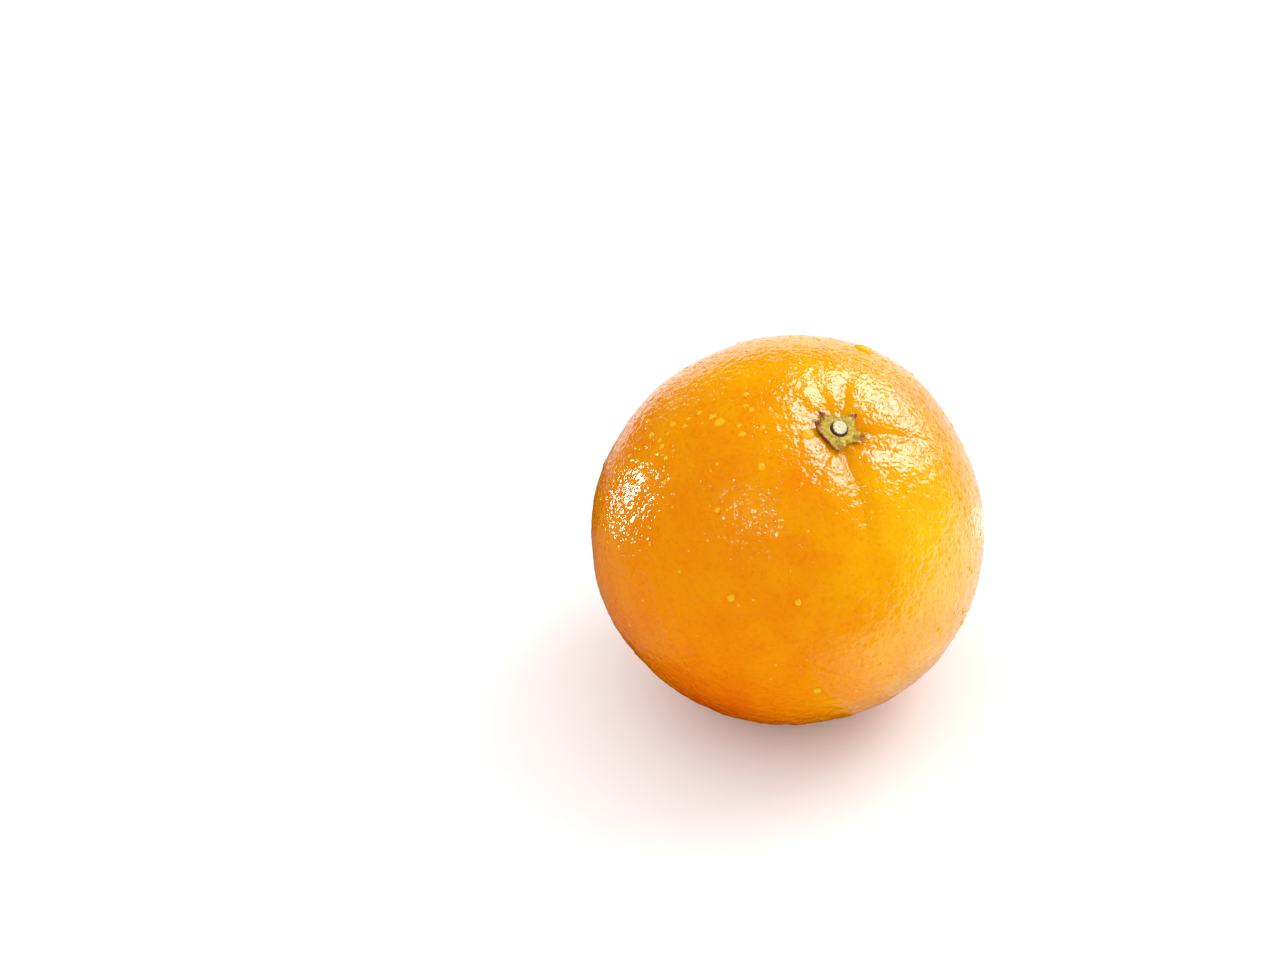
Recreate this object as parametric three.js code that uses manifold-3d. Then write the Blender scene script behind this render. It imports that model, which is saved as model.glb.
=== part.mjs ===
// A whole orange with its calyx and the cut stub of its stem, lying on the small flat spot where its peel
// gives under its own weight. Millimetres, +Z up, the ground at Z = 0. The stem end leans to +X and -Y.
import * as THREE from 'three';
import Module from 'manifold-3d';
import { mergeVertices } from 'three/addons/utils/BufferGeometryUtils.js';

const { degToRad, radToDeg, smoothstep, lerp } = THREE.MathUtils;

// The fruit, measured from its middle. Angles are in degrees: polar from the stem end, azimuth round it.
const equatorRadius = 40.1;
const stemHeight = 38.6;
const blossomHeight = 39.6;
const stemHollow = { depth: 2, spread: 22 };
const stemWell = { depth: 1.2, spread: 8 };
const blossomDimple = { depth: 0.7, spread: 4.5 };
const leanFront = 16.5;
const leanSide = 15.6;
const restDepth = 0.7;

// Broad swells and flats that keep the fruit from being a true ball.
const swells = [
  { polar: 66, azimuth: 21, rise: -0.6, spread: 20 },
  { polar: 55, azimuth: 64, rise: 0.7, spread: 18 },
  { polar: 57, azimuth: 100, rise: -0.2, spread: 18 },
  { polar: 68, azimuth: 129, rise: -0.95, spread: 18 },
  { polar: 83, azimuth: 153, rise: -0.75, spread: 16 },
  { polar: 115, azimuth: 204, rise: 0.7, spread: 18 },
  { polar: 126, azimuth: 250, rise: 0.1, spread: 20 },
  { polar: 119, azimuth: 291, rise: -0.2, spread: 18 },
  { polar: 107, azimuth: 318, rise: 0.3, spread: 16 },
  { polar: 86, azimuth: 349, rise: -0.25, spread: 18 },
];

// Creases of the peel that fan out from the calyx. Depth and width are in millimetres, and reach is the
// polar angle at which a crease dies out.
const creases = [
  { azimuth: 8, depth: 1.4, width: 2.2, reach: 38 },
  { azimuth: 50, depth: 0.7, width: 1.4, reach: 24 },
  { azimuth: 80, depth: 1.3, width: 1.5, reach: 28 },
  { azimuth: 113, depth: 1.1, width: 1.5, reach: 27 },
  { azimuth: 149, depth: 0.7, width: 1.6, reach: 24 },
  { azimuth: 200, depth: 0.5, width: 1.6, reach: 20 },
  { azimuth: 250, depth: 0.9, width: 1.4, reach: 24 },
  { azimuth: 290, depth: 1.7, width: 2.2, reach: 52 },
  { azimuth: 346, depth: 1, width: 1.5, reach: 27 },
];
const creaseStart = 2;
const creaseFull = 9;
const creaseRounding = 0.3;

// The calyx: a low collar round the stem with five pointed sepals. Reaches and heights are in millimetres.
const sepals = [
  { azimuth: 49, reach: 5.6, curl: 0.5 },
  { azimuth: 145, reach: 5.3, curl: 1.1 },
  { azimuth: 177, reach: 5.3, curl: 1.4 },
  { azimuth: 274, reach: 5.1, curl: 0.1 },
  { azimuth: 352, reach: 5.8, curl: 0.1 },
];
const notches = [
  { azimuth: 17, reach: 3.6 },
  { azimuth: 97, reach: 3.5 },
  { azimuth: 160, reach: 4.1 },
  { azimuth: 228, reach: 3.9 },
  { azimuth: 309, reach: 3.4 },
];
const sepalPoint = 1.9;
const collar = { reach: 2.6, thickness: 1.2 };
const bladeThickness = 0.75;
const edgeThickness = 0.35;

// The stub stands in a socket of the calyx.
const stub = { foot: 1.75, waist: 1.65, head: 1.68, bevel: 0.2, proud: 0.65 };
const socketFloor = 0.5;
const gap = 0.3;

// How finely each piece is faceted.
const fruitRings = 44;
const fruitSides = 80;
const ringCrowding = 1.35;
const calyxRings = 6;
const calyxSides = 90;
const stubSides = 36;

const wasm = await Module();
wasm.setup();

// 1 where the angle is 0, falling smoothly to nothing past the spread.
function bell(angle, spread) {
  return Math.exp(-((angle / spread) ** 2));
}

// The shortest turn from one azimuth to another, -180 to 180.
function turnTo(from, to) {
  return THREE.MathUtils.euclideanModulo(to - from + 180, 360) - 180;
}

function direction(polar, azimuth) {
  return new THREE.Vector3().setFromSphericalCoords(1, degToRad(polar), degToRad(azimuth));
}

function creaseCut(crease, polar, azimuth) {
  const across = equatorRadius * Math.sin(degToRad(polar)) * degToRad(turnTo(crease.azimuth, azimuth));
  const open = smoothstep(polar, creaseStart, creaseFull);
  const fade = 1 - smoothstep(polar, 0.4 * crease.reach, crease.reach);
  return crease.depth * open * fade * Math.exp(-Math.hypot(across, creaseRounding) / crease.width);
}

// The distance from the fruit's middle to its peel, or to what the creases are pressed into.
function peelRadius(polar, azimuth, creased = true) {
  const height = polar < 90 ? stemHeight : blossomHeight;
  const turn = degToRad(polar);
  let radius = 1 / Math.hypot(Math.sin(turn) / equatorRadius, Math.cos(turn) / height);
  radius -= stemHollow.depth * bell(polar, stemHollow.spread);
  radius -= stemWell.depth * bell(polar, stemWell.spread);
  radius -= blossomDimple.depth * bell(180 - polar, blossomDimple.spread);
  const here = direction(polar, azimuth);
  for (const swell of swells) {
    const away = radToDeg(here.angleTo(direction(swell.polar, swell.azimuth)));
    radius += swell.rise * bell(away, swell.spread);
  }
  for (const crease of creased ? creases : []) {
    radius -= creaseCut(crease, polar, azimuth);
  }
  return radius;
}

// How high the peel is at a distance from the stem's axis, near the stem end. The creases dip below it.
function peelHeight(reach, azimuth) {
  let polar = radToDeg(Math.asin(reach / equatorRadius));
  for (let pass = 0; pass < 4; pass++) {
    polar = radToDeg(Math.asin(reach / peelRadius(polar, azimuth, false)));
  }
  return peelRadius(polar, azimuth, false) * Math.cos(degToRad(polar));
}

// Moves every vertex of a lathed shape to the place that shapeAt gives for it.
function reshape(geometry, shapeAt) {
  const place = geometry.attributes.position;
  const point = new THREE.Vector3();
  for (let i = 0; i < place.count; i++) {
    point.fromBufferAttribute(place, i);
    shapeAt(point);
    place.setXYZ(i, point.x, point.y, point.z);
  }
  return geometry;
}

// A lathed profile, turned so that its axis is Z, with only its positions left and its seam closed.
function lathe(profile, sides) {
  const turned = new THREE.LatheGeometry(profile, sides).rotateX(Math.PI / 2);
  turned.deleteAttribute('normal');
  turned.deleteAttribute('uv');
  return mergeVertices(turned, 1e-5);
}

function azimuthOf(point) {
  return radToDeg(Math.atan2(point.y, point.x));
}

function fruitGeometry() {
  const profile = [];
  for (let ring = fruitRings; ring >= 0; ring--) {
    const turn = Math.PI * (ring / fruitRings) ** ringCrowding;
    const onAxis = ring === 0 || ring === fruitRings;
    profile.push(new THREE.Vector2(onAxis ? 0 : Math.sin(turn), Math.cos(turn)));
  }
  return reshape(lathe(profile, fruitSides), (point) => {
    const polar = radToDeg(Math.acos(THREE.MathUtils.clamp(point.z, -1, 1)));
    point.setLength(peelRadius(polar, azimuthOf(point)));
  });
}

// The calyx's outline and how far it curls up at an azimuth, between the nearest notch and sepal tip.
function calyxOutline(azimuth) {
  const nearest = (list) => list.reduce((best, item) =>
    Math.abs(turnTo(azimuth, item.azimuth)) < Math.abs(turnTo(azimuth, best.azimuth)) ? item : best);
  const sepal = nearest(sepals);
  const side = Math.sign(turnTo(sepal.azimuth, azimuth)) || 1;
  const notch = nearest(notches.filter((item) => turnTo(sepal.azimuth, item.azimuth) * side > 0));
  const share = Math.abs(turnTo(sepal.azimuth, azimuth) / turnTo(sepal.azimuth, notch.azimuth));
  const towardTip = Math.max(0, 1 - share) ** sepalPoint;
  return { reach: lerp(notch.reach, sepal.reach, towardTip), curl: sepal.curl * towardTip };
}

function calyxThickness(reach, outline) {
  const pastCollar = smoothstep(reach, 0.8 * collar.reach, 1.45 * collar.reach);
  const toEdge = smoothstep(reach, 0.6 * outline, outline);
  return lerp(lerp(collar.thickness, bladeThickness, pastCollar), edgeThickness, toEdge);
}

// A lens of rings, pressed onto the peel and drawn out into sepals.
function calyxGeometry() {
  const profile = [];
  for (let ring = 0; ring <= calyxRings; ring++) {
    profile.push(new THREE.Vector2(ring / calyxRings, 0));
  }
  for (let ring = calyxRings; ring >= 0; ring--) {
    profile.push(new THREE.Vector2(ring / calyxRings, 1));
  }
  return reshape(lathe(profile, calyxSides), (point) => {
    const share = Math.hypot(point.x, point.y);
    const azimuth = azimuthOf(point);
    const outline = calyxOutline(azimuth);
    const reach = share * outline.reach;
    const lift = gap + outline.curl * share ** 3;
    const thickness = point.z * calyxThickness(reach, outline.reach);
    point.setComponent(2, peelHeight(reach, azimuth) + lift + thickness);
    if (share > 0) {
      point.x *= reach / share;
      point.y *= reach / share;
    }
  });
}

function stubGeometry() {
  const foot = peelHeight(0, 0) + 2 * gap + socketFloor;
  const top = peelHeight(0, 0) + gap + collar.thickness + stub.proud;
  const profile = [
    [0, foot],
    [stub.foot, foot],
    [stub.waist, lerp(foot, top, 0.55)],
    [stub.head, top - stub.bevel],
    [stub.head - stub.bevel, top],
    [0, top],
  ].map(([across, up]) => new THREE.Vector2(across, up));
  return lathe(profile, stubSides);
}

function toSolid(geometry) {
  return new wasm.Manifold(new wasm.Mesh({
    numProp: 3,
    vertProperties: new Float32Array(geometry.attributes.position.array),
    triVerts: new Uint32Array(geometry.index.array),
  }));
}

function toGeometry(solid) {
  const mesh = solid.getMesh();
  const geometry = new THREE.BufferGeometry();
  geometry.setAttribute('position', new THREE.BufferAttribute(mesh.vertProperties, 3));
  geometry.setIndex(new THREE.BufferAttribute(mesh.triVerts, 1));
  geometry.computeVertexNormals();
  return geometry;
}

// The calyx with the socket that its stub stands in.
function socketedCalyx() {
  const floor = peelHeight(0, 0) + gap + socketFloor;
  const depth = 2 * collar.thickness;
  const drill = new THREE.CylinderGeometry(stub.foot + gap, stub.foot + gap, depth, stubSides);
  drill.rotateX(Math.PI / 2).translate(0, 0, floor + depth / 2);
  drill.deleteAttribute('normal');
  drill.deleteAttribute('uv');
  return toGeometry(toSolid(calyxGeometry()).subtract(toSolid(mergeVertices(drill))));
}

// The fruit as it lies, with its lowest cap pressed flat.
function restingFruit(lean) {
  const whole = fruitGeometry().applyMatrix4(lean);
  whole.computeBoundingBox();
  const block = new THREE.BoxGeometry(equatorRadius, equatorRadius, equatorRadius);
  block.translate(0, 0, whole.boundingBox.min.z + restDepth - equatorRadius / 2);
  block.deleteAttribute('normal');
  block.deleteAttribute('uv');
  return toGeometry(toSolid(whole).subtract(toSolid(mergeVertices(block))));
}

function makePiece(name, geometry, color, roughness) {
  const material = new THREE.MeshStandardMaterial({ color, roughness, metalness: 0 });
  const piece = new THREE.Mesh(geometry, material);
  piece.name = name;
  return piece;
}

const lean = new THREE.Matrix4().makeRotationFromEuler(
  new THREE.Euler(degToRad(leanFront), degToRad(leanSide), 0, 'XYZ'));

const fruit = makePiece('fruit', restingFruit(lean), 0xee8e08, 0.38);
const calyx = makePiece('calyx', socketedCalyx(), 0x8f8a3a, 0.7);
const stemStub = makePiece('stem_stub', stubGeometry(), 0xcfc79a, 0.8);

const stemEnd = new THREE.Group();
stemEnd.applyMatrix4(lean);
stemEnd.add(calyx, stemStub);

const orange = new THREE.Group();
orange.name = 'orange';
orange.add(fruit, stemEnd);

// The origin is on the ground, under the middle of the part's outline.
const bounds = new THREE.Box3().setFromObject(orange);
const middle = bounds.getCenter(new THREE.Vector3());
orange.position.set(-middle.x, -middle.y, -bounds.min.z);

export default orange;
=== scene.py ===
import math

import bmesh
import bpy
from mathutils import Matrix, Vector, noise
from mathutils.bvhtree import BVHTree


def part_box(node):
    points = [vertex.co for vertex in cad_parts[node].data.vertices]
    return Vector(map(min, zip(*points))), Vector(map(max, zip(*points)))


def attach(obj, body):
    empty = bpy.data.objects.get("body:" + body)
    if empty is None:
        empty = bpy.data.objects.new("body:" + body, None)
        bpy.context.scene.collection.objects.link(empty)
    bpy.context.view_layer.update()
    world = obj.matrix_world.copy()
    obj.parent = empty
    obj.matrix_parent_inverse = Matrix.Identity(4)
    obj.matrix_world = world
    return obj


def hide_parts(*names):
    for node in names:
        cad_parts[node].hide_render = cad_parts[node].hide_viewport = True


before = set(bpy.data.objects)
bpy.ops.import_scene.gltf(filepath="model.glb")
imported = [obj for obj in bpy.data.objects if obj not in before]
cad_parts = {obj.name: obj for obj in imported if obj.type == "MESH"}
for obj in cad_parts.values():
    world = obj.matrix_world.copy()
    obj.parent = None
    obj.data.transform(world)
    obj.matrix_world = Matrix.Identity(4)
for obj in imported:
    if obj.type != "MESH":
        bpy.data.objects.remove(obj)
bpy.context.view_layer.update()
print("frame loaded")

# Lengths are millimetres and angles are degrees. Each piece is shaped in the fruit's own frame, where the
# stem stands along +Z and the fruit's middle is the origin, and is laid in its place as its last step.
mm = 0.001


# Node trees

def wire(tree, made, inputs):
    for key, value in inputs.items():
        if isinstance(value, bpy.types.NodeSocket):
            tree.links.new(value, made.inputs[key])
        else:
            made.inputs[key].default_value = value
    return made


def addNode(tree, kind, inputs=None, **settings):
    made = tree.nodes.new(kind)
    for name, value in settings.items():
        setattr(made, name, value)
    return wire(tree, made, inputs or {})


def calc(tree, operation, *values):
    return addNode(tree, "ShaderNodeMath", dict(enumerate(values)), operation=operation).outputs[0]


def calcVector(tree, operation, *values, out="Vector"):
    made = addNode(tree, "ShaderNodeVectorMath", dict(enumerate(values)), operation=operation)
    return made.outputs[out]


def mapRange(tree, value, fromLow, fromHigh, toLow=0.0, toHigh=1.0, curve="SMOOTHSTEP"):
    return addNode(tree, "ShaderNodeMapRange", {
        "Value": value, "From Min": fromLow, "From Max": fromHigh, "To Min": toLow, "To Max": toHigh,
    }, interpolation_type=curve).outputs[0]


def readAttribute(tree, name, kind="FLOAT"):
    made = addNode(tree, "GeometryNodeInputNamedAttribute", {"Name": name}, data_type=kind)
    return made.outputs["Attribute"]


def keepAttribute(tree, geometry, name, value, kind="FLOAT"):
    return addNode(tree, "GeometryNodeStoreNamedAttribute", {
        "Geometry": geometry, "Name": name, "Value": value,
    }, data_type=kind, domain="POINT").outputs["Geometry"]


def newTree(name, kind, inputs, outputs):
    tree = bpy.data.node_groups.new(name, kind)
    sockets = {}
    for label, socketKind in inputs:
        socket = tree.interface.new_socket(label, in_out="INPUT", socket_type="NodeSocket" + socketKind)
        sockets[label] = socket.identifier
    for label, socketKind in outputs:
        tree.interface.new_socket(label, in_out="OUTPUT", socket_type="NodeSocket" + socketKind)
    given = tree.nodes.new("NodeGroupInput").outputs
    result = tree.nodes.new("NodeGroupOutput")
    return tree, given, result, sockets


def placeGroup(tree, group, inputs):
    kind = "GeometryNodeGroup" if tree.bl_idname == "GeometryNodeTree" else "ShaderNodeGroup"
    return addNode(tree, kind, inputs, node_tree=group).outputs


# the last two nodes of a geometry tree
def finishTree(tree, geometry, material, end):
    real = addNode(tree, "GeometryNodeRealizeInstances", {"Geometry": geometry}).outputs[0]
    dressed = addNode(tree, "GeometryNodeSetMaterial", {"Geometry": real, "Material": material}).outputs[0]
    tree.links.new(dressed, end)


# runs a geometry tree with these inputs and gives its result as a plain mesh
def runTree(name, tree, sockets, values):
    grown = bpy.data.objects.new(name, bpy.data.meshes.new(name))
    bpy.context.scene.collection.objects.link(grown)
    modifier = grown.modifiers.new("grow", "NODES")
    modifier.node_group = tree
    for label, value in values.items():
        modifier[sockets[label]] = value
    graph = bpy.context.evaluated_depsgraph_get()
    mesh = bpy.data.meshes.new_from_object(
        grown.evaluated_get(graph), preserve_all_data_layers=True, depsgraph=graph)
    bpy.data.objects.remove(grown)
    mesh.name = name
    return mesh


# The fruit: a ball of quads pushed out to its peel, with swells, creases, lumps and pores

fruitShape = {
    "Vertices Per Side": 127,
    "Equator Radius": 40.1,
    "Stem Height": 38.6,
    "Blossom Height": 39.6,
    "Hollow Depth": 2.0,
    "Hollow Spread": 22.0,
    "Well Depth": 1.2,
    "Well Spread": 8.0,
    "Dimple Depth": 0.7,
    "Dimple Spread": 4.5,
    "Rest Depth": 0.7,
    "Lump Height": 0.45,
    "Lump Size": 6.5,
    "Small Lump Height": 0.46,
    "Small Lump Size": 1.7,
    "Pucker Height": 0.8,
    "Pore Depth": 0.13,
    "Pore Spacing": 1.5,
    "Seed": 4.0,
}
fruitLean = {"front": 16.5, "side": 15.6}

# polar angle from the stem, azimuth round it, rise and spread
fruitSwells = [
    (66, 21, -0.6, 20),
    (55, 64, 0.7, 18),
    (57, 100, -0.2, 18),
    (68, 129, -0.95, 18),
    (83, 153, -0.75, 16),
    (115, 204, 0.7, 18),
    (126, 250, 0.1, 20),
    (119, 291, -0.2, 18),
    (107, 318, 0.3, 16),
    (86, 349, -0.25, 18),
]

# azimuth, depth, width and the polar angle where the crease dies out
fruitCreases = [
    (8, 1.4, 2.2, 38),
    (50, 0.7, 1.4, 24),
    (80, 1.3, 1.5, 28),
    (113, 1.1, 1.5, 27),
    (149, 0.7, 1.6, 24),
    (200, 0.5, 1.6, 20),
    (250, 0.9, 1.4, 24),
    (290, 2.0, 2.2, 54),
    (346, 1.0, 1.5, 27),
]

# where the peel's colour leans: partly its own uneven colour, partly painted light and shade, yellower on the
# lit right and top and where the floor's sheen shows at the lower right, redder on the shaded lower left
# polar angle, azimuth, how much yellower or redder, spread
fruitTintAndPaintedLight = [
    (34, 318, 0.4, 18),
    (52, 335, 0.4, 38),
    (40, 80, 0.3, 34),
    (36, 118, 0.3, 30),
    (82, 312, 0.25, 34),
    (128, 235, -0.4, 45),
    (110, 254, -0.5, 17),
]

# a crease opens between two polar angles, has a rounded floor and begins to fade partway along its reach
creaseShape = {
    "opensFrom": 2.0,
    "openBy": 9.0,
    "rounding": 0.25,
    "fadesFrom": 0.4,
    "waverSize": 5.0,
    "waver": 9.0,
}

# how closely the puckers stand round the calyx, how fast they change on the way out, and where they end
puckerShape = {"across": 4.5, "along": 0.05, "spread": 17.0}

leanTurn = (Matrix.Rotation(math.radians(fruitLean["front"]), 4, "X")
            @ Matrix.Rotation(math.radians(fruitLean["side"]), 4, "Y"))


def toward(polar, azimuth):
    across = math.sin(math.radians(polar))
    turn = math.radians(azimuth)
    return Vector((across * math.cos(turn), across * math.sin(turn), math.cos(math.radians(polar))))


def makeSwellTree():
    tree, given, result, _ = newTree("peelSwell", "GeometryNodeTree", [
        ("Facing", "Vector"), ("Toward", "Vector"), ("Rise", "Float"), ("Spread", "Float"),
    ], [("Rise", "Float")])
    near = calcVector(tree, "DOT_PRODUCT", given["Facing"], given["Toward"], out="Value")
    away = calc(tree, "DEGREES", calc(tree, "ARCCOSINE", calc(tree, "MINIMUM", near, 1.0)))
    share = calc(tree, "POWER", calc(tree, "DIVIDE", away, given["Spread"]), 2.0)
    bell = calc(tree, "EXPONENT", calc(tree, "MULTIPLY", share, -1.0))
    tree.links.new(calc(tree, "MULTIPLY", bell, given["Rise"]), result.inputs["Rise"])
    return tree


def makeCreaseTree():
    tree, given, result, _ = newTree("peelCrease", "GeometryNodeTree", [
        ("Polar", "Float"), ("Azimuth", "Float"), ("Turn", "Float"), ("Depth", "Float"), ("Width", "Float"),
        ("Reach", "Float"), ("Radius", "Float"),
    ], [("Depth", "Float")])
    turn = calc(tree, "WRAP", calc(tree, "SUBTRACT", given["Azimuth"], given["Turn"]), 180.0, -180.0)
    ring = calc(tree, "MULTIPLY", calc(tree, "SINE", calc(tree, "RADIANS", given["Polar"])), given["Radius"])
    across = calc(tree, "MULTIPLY", calc(tree, "RADIANS", turn), ring)
    rounding = creaseShape["rounding"] ** 2
    away = calc(tree, "SQRT", calc(tree, "ADD", calc(tree, "POWER", across, 2.0), rounding))
    wall = calc(tree, "EXPONENT", calc(tree, "DIVIDE", calc(tree, "MULTIPLY", away, -1.0), given["Width"]))
    opening = mapRange(tree, given["Polar"], creaseShape["opensFrom"], creaseShape["openBy"])
    fadeStart = calc(tree, "MULTIPLY", given["Reach"], creaseShape["fadesFrom"])
    fading = mapRange(tree, given["Polar"], fadeStart, given["Reach"], 1.0, 0.0)
    depth = calc(tree, "MULTIPLY", calc(tree, "MULTIPLY", opening, fading), given["Depth"])
    tree.links.new(calc(tree, "MULTIPLY", depth, wall), result.inputs["Depth"])
    return tree


def bellCurve(tree, angle, spread):
    share = calc(tree, "POWER", calc(tree, "DIVIDE", angle, spread), 2.0)
    return calc(tree, "EXPONENT", calc(tree, "MULTIPLY", share, -1.0))


def centredNoise(tree, place, size, detail=2.0, seed=None):
    scale = calc(tree, "DIVIDE", 1.0, size)
    inputs = {"Vector": place, "Scale": scale, "Detail": detail}
    if seed is not None:
        inputs["W"] = seed
    made = addNode(tree, "ShaderNodeTexNoise", inputs, noise_dimensions="4D" if seed is not None else "3D")
    return calc(tree, "SUBTRACT", made.outputs["Fac"], 0.5)


def makeFruitTree():
    tree, given, result, sockets = newTree("growFruit", "GeometryNodeTree", [
        ("Vertices Per Side", "Int"), ("Equator Radius", "Float"), ("Stem Height", "Float"),
        ("Blossom Height", "Float"), ("Hollow Depth", "Float"), ("Hollow Spread", "Float"),
        ("Well Depth", "Float"), ("Well Spread", "Float"), ("Dimple Depth", "Float"),
        ("Dimple Spread", "Float"), ("Rest Depth", "Float"), ("Lump Height", "Float"),
        ("Lump Size", "Float"), ("Small Lump Height", "Float"), ("Small Lump Size", "Float"),
        ("Pucker Height", "Float"), ("Pore Depth", "Float"), ("Pore Spacing", "Float"),
        ("Seed", "Float"), ("Up", "Vector"), ("Peel", "Material"),
    ], [("Fruit", "Geometry")])

    # a cube whose faces are evened out and blown up into a ball
    perSide = given["Vertices Per Side"]
    cube = addNode(tree, "GeometryNodeMeshCube", {
        "Size": (2.0, 2.0, 2.0), "Vertices X": perSide, "Vertices Y": perSide, "Vertices Z": perSide})
    corner = tree.nodes.new("GeometryNodeInputPosition").outputs[0]
    quarter = calcVector(tree, "SCALE", corner)
    quarter.node.inputs["Scale"].default_value = math.pi / 4
    facingHere = calcVector(tree, "NORMALIZE", calcVector(tree, "TANGENT", quarter))
    ball = keepAttribute(tree, cube.outputs["Mesh"], "peelFacing", facingHere, "FLOAT_VECTOR")

    facing = readAttribute(tree, "peelFacing", "FLOAT_VECTOR")
    parts = addNode(tree, "ShaderNodeSeparateXYZ", {"Vector": facing}).outputs
    upward = calc(tree, "MINIMUM", calc(tree, "MAXIMUM", parts["Z"], -1.0), 1.0)
    polar = calc(tree, "DEGREES", calc(tree, "ARCCOSINE", upward))
    azimuth = calc(tree, "DEGREES", calc(tree, "ARCTAN2", parts["Y"], parts["X"]))
    place = calcVector(tree, "SCALE", facing)
    tree.links.new(given["Equator Radius"], place.node.inputs["Scale"])

    # the plain egg shape, with its hollow at the stem and its dimple at the blossom end
    atStem = calc(tree, "GREATER_THAN", upward, 0.0)
    taller = calc(tree, "SUBTRACT", given["Stem Height"], given["Blossom Height"])
    height = calc(tree, "ADD", given["Blossom Height"], calc(tree, "MULTIPLY", taller, atStem))
    endShare = calc(tree, "POWER", calc(tree, "DIVIDE", upward, height), 2.0)
    flatness = calc(tree, "SUBTRACT", 1.0, calc(tree, "POWER", upward, 2.0))
    sideShare = calc(tree, "DIVIDE", flatness, calc(tree, "POWER", given["Equator Radius"], 2.0))
    radius = calc(tree, "INVERSE_SQRT", calc(tree, "ADD", endShare, sideShare))
    hollow = calc(tree, "MULTIPLY", bellCurve(tree, polar, given["Hollow Spread"]), given["Hollow Depth"])
    well = calc(tree, "MULTIPLY", bellCurve(tree, polar, given["Well Spread"]), given["Well Depth"])
    hollow = calc(tree, "ADD", hollow, well)
    fromBlossom = calc(tree, "SUBTRACT", 180.0, polar)
    dimple = bellCurve(tree, fromBlossom, given["Dimple Spread"])
    dimple = calc(tree, "MULTIPLY", dimple, given["Dimple Depth"])
    radius = calc(tree, "SUBTRACT", calc(tree, "SUBTRACT", radius, hollow), dimple)

    swellTree = makeSwellTree()
    for swellPolar, swellAzimuth, rise, spread in fruitSwells:
        swell = placeGroup(tree, swellTree, {
            "Facing": facing, "Toward": toward(swellPolar, swellAzimuth), "Rise": rise, "Spread": spread})
        radius = calc(tree, "ADD", radius, swell["Rise"])

    # the creases waver a little on their way out
    waver = calc(tree, "MULTIPLY", centredNoise(tree, place, creaseShape["waverSize"]), creaseShape["waver"])
    wavering = calc(tree, "ADD", azimuth, waver)
    creaseTree = makeCreaseTree()
    creased = 0.0
    for turn, depth, width, reach in fruitCreases:
        crease = placeGroup(tree, creaseTree, {
            "Polar": polar, "Azimuth": wavering, "Turn": turn, "Depth": depth, "Width": width, "Reach": reach,
            "Radius": given["Equator Radius"]})
        creased = calc(tree, "ADD", creased, crease["Depth"])
    radius = calc(tree, "SUBTRACT", radius, creased)

    # fine puckers run out from the calyx
    outward = calcVector(tree, "NORMALIZE", calcVector(tree, "MULTIPLY", facing, (1.0, 1.0, 0.0)))
    along = calc(tree, "MULTIPLY", polar, puckerShape["along"])
    along = addNode(tree, "ShaderNodeCombineXYZ", {"Z": along}).outputs[0]
    spread = (puckerShape["across"], puckerShape["across"], 0.0)
    spokes = calcVector(tree, "ADD", calcVector(tree, "MULTIPLY", outward, spread), along)
    pucker = calc(tree, "MULTIPLY", centredNoise(tree, spokes, 1.0, 1.0), given["Pucker Height"])
    pucker = calc(tree, "MULTIPLY", pucker, bellCurve(tree, polar, puckerShape["spread"]))
    radius = calc(tree, "ADD", radius, pucker)

    # broad and small lumps
    for kind in ("Lump", "Small Lump"):
        lumps = centredNoise(tree, place, given[kind + " Size"], 1.0, given["Seed"])
        radius = calc(tree, "ADD", radius, calc(tree, "MULTIPLY", lumps, given[kind + " Height"]))

    # pores: the hollows over the oil glands
    cells = addNode(tree, "ShaderNodeTexVoronoi", {
        "Vector": place, "Scale": calc(tree, "DIVIDE", 1.0, given["Pore Spacing"]), "Randomness": 1.0})
    pore = mapRange(tree, cells.outputs["Distance"], 0.1, 0.6, 1.0, 0.0)
    radius = calc(tree, "SUBTRACT", radius, calc(tree, "MULTIPLY", pore, given["Pore Depth"]))

    pushed = calcVector(tree, "SCALE", facing)
    tree.links.new(radius, pushed.node.inputs["Scale"])
    grown = addNode(tree, "GeometryNodeSetPosition", {"Geometry": ball, "Position": pushed}).outputs[0]

    # the lowest cap is pressed flat where the fruit lies on it
    corner = tree.nodes.new("GeometryNodeInputPosition").outputs[0]
    level = calcVector(tree, "DOT_PRODUCT", corner, given["Up"], out="Value")
    lowest = addNode(tree, "GeometryNodeAttributeStatistic", {
        "Geometry": grown, "Attribute": level}, data_type="FLOAT", domain="POINT").outputs["Min"]
    ground = calc(tree, "ADD", lowest, given["Rest Depth"])
    pressed = calc(tree, "SUBTRACT", calc(tree, "SMOOTH_MAX", level, ground, 0.25), level)
    lift = calcVector(tree, "SCALE", given["Up"])
    tree.links.new(pressed, lift.node.inputs["Scale"])
    grown = addNode(tree, "GeometryNodeSetPosition", {"Geometry": grown, "Offset": lift}).outputs[0]

    # how far the colour leans to yellow (above zero) or to red (below): partly the peel's own uneven colour,
    # partly painted light on the lit side and painted shade on the shaded underside
    leanAndPaintedLight = 0.0
    for leanPolar, leanAzimuth, amount, spread in fruitTintAndPaintedLight:
        patch = placeGroup(tree, swellTree, {
            "Facing": facing, "Toward": toward(leanPolar, leanAzimuth), "Rise": amount, "Spread": spread})
        leanAndPaintedLight = calc(tree, "ADD", leanAndPaintedLight, patch["Rise"])

    grown = keepAttribute(tree, grown, "ripeness", leanAndPaintedLight)
    grown = keepAttribute(tree, grown, "peelPlace", place, "FLOAT_VECTOR")
    grown = addNode(tree, "GeometryNodeSetShadeSmooth", {"Geometry": grown}).outputs[0]
    finishTree(tree, grown, given["Peel"], result.inputs["Fruit"])
    return tree, sockets


# Surface patterns that several materials share

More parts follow.
